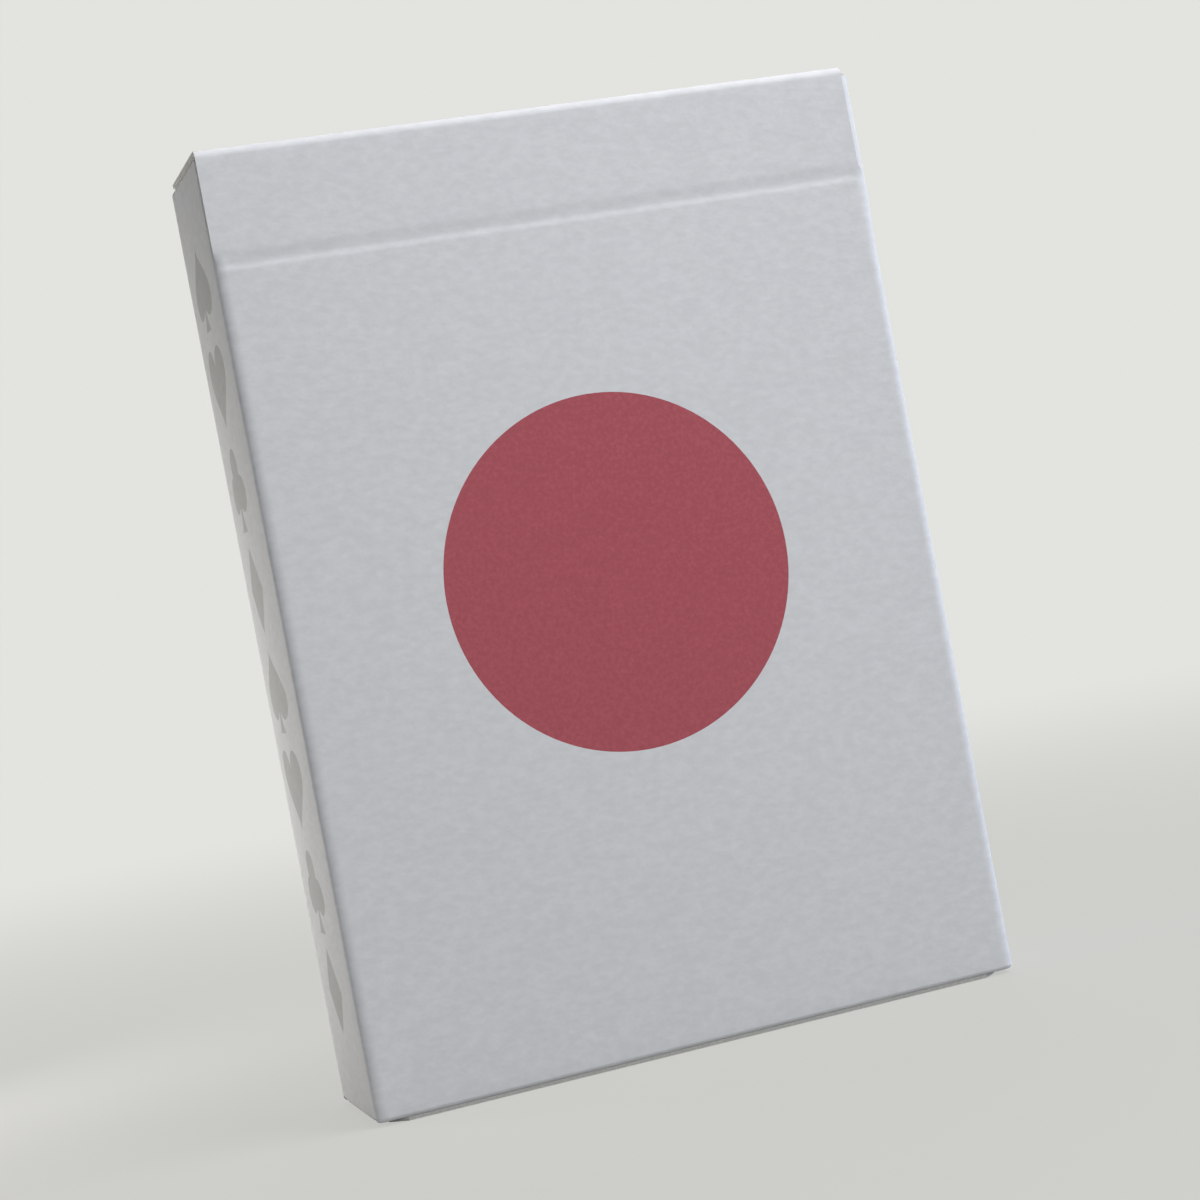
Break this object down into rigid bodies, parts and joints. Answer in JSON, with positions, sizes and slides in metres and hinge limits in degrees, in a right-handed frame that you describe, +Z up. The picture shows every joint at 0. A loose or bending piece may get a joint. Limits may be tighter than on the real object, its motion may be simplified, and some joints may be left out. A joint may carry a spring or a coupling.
{
  "type": "deck of playing cards",
  "caption": "Deck of playing cards in a closed board tuck box with a creased hinged lid, tuck flap, dust flaps and a thumb notch.",
  "frame": {"origin": "middle of the box's base, on the surface that it stands on", "axes": "+Z up along the cards' long side, +X across the cards' short side, +Y through the deck towards the panel with the thumb notch; the panel with the lid's crease looks along -Y"},
  "size_m": [0.0654, 0.0174, 0.0914],
  "materials": {
    "box_board": "white uncoated board with a fine felt texture and a printed red disc",
    "card_stock": "white coated card with an air-cushion emboss"
  },
  "bodies": {
    "case": {"tuck_case": "box_board"},
    "lid_crease_section": {"lid_crease_panel": "box_board"},
    "lid_top": {"lid_top_panel": "box_board"},
    "tuck_flap": {"tuck_flap": "box_board"},
    "dust_flap_left": {"dust_flap_left": "box_board"},
    "dust_flap_right": {"dust_flap_right": "box_board"},
    "deck": {"joker_one": "card_stock", "joker_two": "card_stock", "ace_of_spades": "card_stock", "two_of_spades": "card_stock", "three_of_spades": "card_stock", "four_of_spades": "card_stock", "five_of_spades": "card_stock", "six_of_spades": "card_stock", "seven_of_spades": "card_stock", "eight_of_spades": "card_stock", "nine_of_spades": "card_stock", "ten_of_spades": "card_stock", "jack_of_spades": "card_stock", "queen_of_spades": "card_stock", "king_of_spades": "card_stock", "ace_of_diamonds": "card_stock", "two_of_diamonds": "card_stock", "three_of_diamonds": "card_stock", "four_of_diamonds": "card_stock", "five_of_diamonds": "card_stock", "six_of_diamonds": "card_stock", "seven_of_diamonds": "card_stock", "eight_of_diamonds": "card_stock", "nine_of_diamonds": "card_stock", "ten_of_diamonds": "card_stock", "jack_of_diamonds": "card_stock", "queen_of_diamonds": "card_stock", "king_of_diamonds": "card_stock", "king_of_clubs": "card_stock", "queen_of_clubs": "card_stock", "jack_of_clubs": "card_stock", "ten_of_clubs": "card_stock", "nine_of_clubs": "card_stock", "eight_of_clubs": "card_stock", "seven_of_clubs": "card_stock", "six_of_clubs": "card_stock", "five_of_clubs": "card_stock", "four_of_clubs": "card_stock", "three_of_clubs": "card_stock", "two_of_clubs": "card_stock", "ace_of_clubs": "card_stock", "king_of_hearts": "card_stock", "queen_of_hearts": "card_stock", "jack_of_hearts": "card_stock", "ten_of_hearts": "card_stock", "nine_of_hearts": "card_stock", "eight_of_hearts": "card_stock", "seven_of_hearts": "card_stock", "six_of_hearts": "card_stock", "five_of_hearts": "card_stock", "four_of_hearts": "card_stock", "three_of_hearts": "card_stock", "two_of_hearts": "card_stock", "ace_of_hearts": "card_stock"}
  },
  "joints": [
    {"name": "lid_crease", "type": "hinge", "parent": "case", "child": "lid_crease_section", "pos_m": [0, -0.00875, 0.08052], "axis": [1, 0, 0], "range_deg": [0, 27.5]},
    {"name": "lid_hinge", "type": "hinge", "parent": "lid_crease_section", "child": "lid_top", "pos_m": [0, -0.00785, 0.09142], "axis": [1, 0, 0], "range_deg": [0, 110]},
    {"name": "tuck_fold", "type": "hinge", "parent": "lid_top", "child": "tuck_flap", "pos_m": [0, 0.00715, 0.09052], "axis": [-1, 0, 0], "range_deg": [0, 63.8]},
    {"name": "dust_fold_left", "type": "hinge", "parent": "case", "child": "dust_flap_left", "pos_m": [-0.0327, 0, 0.09052], "axis": [0, -1, 0], "range_deg": [0, 38.5]},
    {"name": "dust_fold_right", "type": "hinge", "parent": "case", "child": "dust_flap_right", "pos_m": [0.0327, 0, 0.09052], "axis": [0, 1, 0], "range_deg": [0, 38.5]},
    {"name": "deck_lift", "type": "slide", "parent": "case", "child": "deck", "axis": [0, 0, 1], "range_m": [0, 0.0007]}
  ],
  "couplings": [
    {"joint": "lid_crease", "follows": "lid_hinge", "ratio": 0.25},
    {"joint": "tuck_fold", "follows": "lid_hinge", "ratio": 0.58},
    {"joint": "dust_fold_left", "follows": "lid_hinge", "ratio": 0.35},
    {"joint": "dust_fold_right", "follows": "lid_hinge", "ratio": 0.35}
  ]
}
